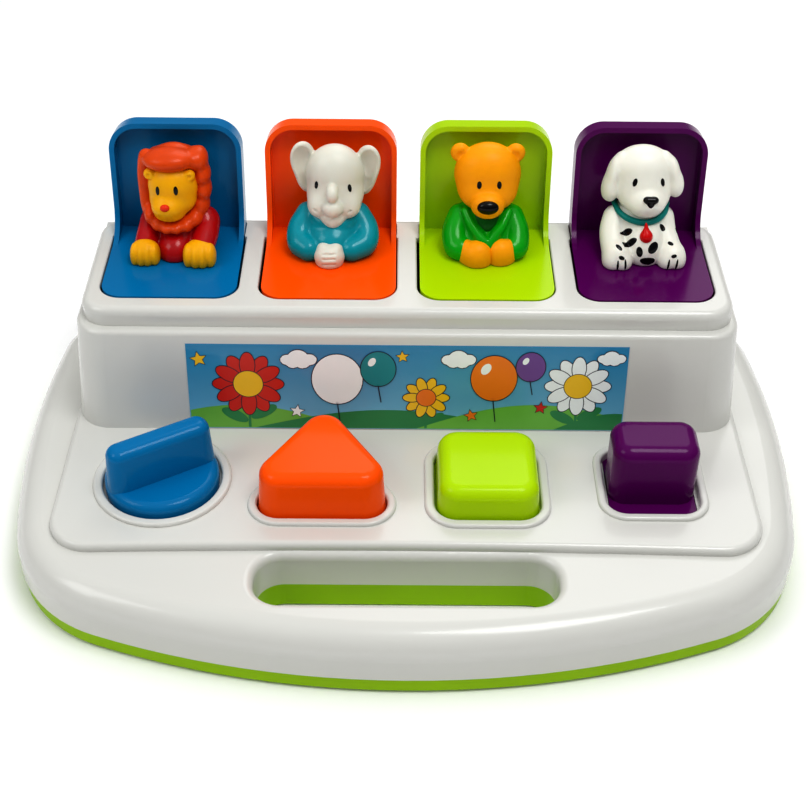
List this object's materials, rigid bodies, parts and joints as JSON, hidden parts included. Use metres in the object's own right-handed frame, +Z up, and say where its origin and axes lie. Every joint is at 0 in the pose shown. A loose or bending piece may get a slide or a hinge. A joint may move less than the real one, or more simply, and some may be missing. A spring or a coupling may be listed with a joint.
{
  "type": "pop up animal toy",
  "caption": "Baby pop up toy: rounded white base with a carry slot, and a row of spring lids holding animal figures, each let up by its own knob, button or slider.",
  "frame": {"origin": "middle of the footprint at the underside of the feet", "axes": "+X to the user's right along the row of lids, +Y away from the user towards the hinge rod, +Z up"},
  "size_m": [0.324, 0.2072, 0.1338],
  "materials": {
    "shell_white": "gloss",
    "base_green": "satin",
    "label_print": "printed film",
    "foot_rubber": "matt",
    "steel": "drawn wire and turned pin",
    "lid_blue": "gloss",
    "lid_orange": "gloss",
    "lid_lime": "gloss",
    "lid_purple": "gloss",
    "lever_natural": "moulded",
    "lion_paint": "satin",
    "elephant_paint": "satin",
    "bear_paint": "satin",
    "puppy_paint": "satin"
  },
  "bodies": {
    "base": {"base_tray": "base_green", "base_shell": "shell_white", "tower_shell": "shell_white", "deck_frame": "shell_white", "front_label": "label_print", "rubber_feet": "foot_rubber", "base_screws": "steel", "hinge_rod": "steel", "lever_pins": "steel", "lid_spring_blue": "steel", "lid_spring_orange": "steel", "lid_spring_lime": "steel", "lid_spring_purple": "steel", "return_spring_blue": "steel", "return_spring_orange": "steel", "return_spring_lime": "steel", "return_spring_purple": "steel"},
    "lid_assembly_blue": {"lid_blue": "lid_blue", "lion": "lion_paint"},
    "lid_assembly_orange": {"lid_orange": "lid_orange", "elephant": "elephant_paint"},
    "lid_assembly_lime": {"lid_lime": "lid_lime", "bear": "bear_paint"},
    "lid_assembly_purple": {"lid_purple": "lid_purple", "puppy": "puppy_paint"},
    "knob": {"turn_knob": "lid_blue", "knob_retainer": "lever_natural"},
    "triangle": {"triangle_button": "lid_orange"},
    "square": {"square_button": "lid_lime"},
    "slider": {"slide_block": "lid_purple"},
    "lever_blue": {"latch_lever_blue": "lever_natural"},
    "lever_orange": {"latch_lever_orange": "lever_natural"},
    "lever_lime": {"latch_lever_lime": "lever_natural"},
    "lever_purple": {"latch_lever_purple": "lever_natural"}
  },
  "joints": [
    {"name": "lid_hinge_blue", "type": "hinge", "parent": "base", "child": "lid_assembly_blue", "pos_m": [-0.099, 0.0848, 0.0815], "axis": [1, 0, 0], "range_deg": [0, 99.8], "stiffness_Nm_per_rad": 0.02, "springref_deg": -34.38},
    {"name": "lid_hinge_orange", "type": "hinge", "parent": "base", "child": "lid_assembly_orange", "pos_m": [-0.033, 0.0848, 0.0815], "axis": [1, 0, 0], "range_deg": [0, 99.8], "stiffness_Nm_per_rad": 0.02, "springref_deg": -34.38},
    {"name": "lid_hinge_lime", "type": "hinge", "parent": "base", "child": "lid_assembly_lime", "pos_m": [0.033, 0.0848, 0.0815], "axis": [1, 0, 0], "range_deg": [0, 99.8], "stiffness_Nm_per_rad": 0.02, "springref_deg": -34.38},
    {"name": "lid_hinge_purple", "type": "hinge", "parent": "base", "child": "lid_assembly_purple", "pos_m": [0.099, 0.0848, 0.0815], "axis": [1, 0, 0], "range_deg": [0, 99.8], "stiffness_Nm_per_rad": 0.02, "springref_deg": -34.38},
    {"name": "knob_turn", "type": "hinge", "parent": "base", "child": "knob", "pos_m": [-0.099, -0.02, 0.034], "axis": [0, 0, -1], "range_deg": [0, 60], "stiffness_Nm_per_rad": 0.02, "springref_deg": -2.86},
    {"name": "triangle_press", "type": "slide", "parent": "base", "child": "triangle", "axis": [0, 0, -1], "range_m": [0, 0.0025], "stiffness_N_per_m": 300, "springref_m": -0.002},
    {"name": "square_press", "type": "slide", "parent": "base", "child": "square", "axis": [0, 0, -1], "range_m": [0, 0.0025], "stiffness_N_per_m": 300, "springref_m": -0.002},
    {"name": "slider_pull", "type": "slide", "parent": "base", "child": "slider", "axis": [0, -1, 0], "range_m": [0, 0.007], "stiffness_N_per_m": 100, "springref_m": -0.002},
    {"name": "lever_tilt_blue", "type": "hinge", "parent": "base", "child": "lever_blue", "pos_m": [-0.099, -0.05, 0.018], "axis": [-1, 0, 0], "range_deg": [0, 4.77], "deforming": ["return_spring_blue"]},
    {"name": "lever_tilt_orange", "type": "hinge", "parent": "base", "child": "lever_orange", "pos_m": [-0.033, -0.05, 0.018], "axis": [-1, 0, 0], "range_deg": [0, 4.77], "deforming": ["return_spring_orange"]},
    {"name": "lever_tilt_lime", "type": "hinge", "parent": "base", "child": "lever_lime", "pos_m": [0.033, -0.05, 0.018], "axis": [-1, 0, 0], "range_deg": [0, 4.77], "deforming": ["return_spring_lime"]},
    {"name": "lever_tilt_purple", "type": "hinge", "parent": "base", "child": "lever_purple", "pos_m": [0.099, -0.05, 0.018], "axis": [-1, 0, 0], "range_deg": [0, 4.77], "deforming": ["return_spring_purple"]}
  ],
  "couplings": [
    {"joint": "lever_tilt_blue", "follows": "knob_turn", "ratio": 0.07958},
    {"joint": "lever_tilt_orange", "follows": "triangle_press", "rad_per_m": 33.333},
    {"joint": "lever_tilt_lime", "follows": "square_press", "rad_per_m": 33.333},
    {"joint": "lever_tilt_purple", "follows": "slider_pull", "rad_per_m": 11.905}
  ]
}
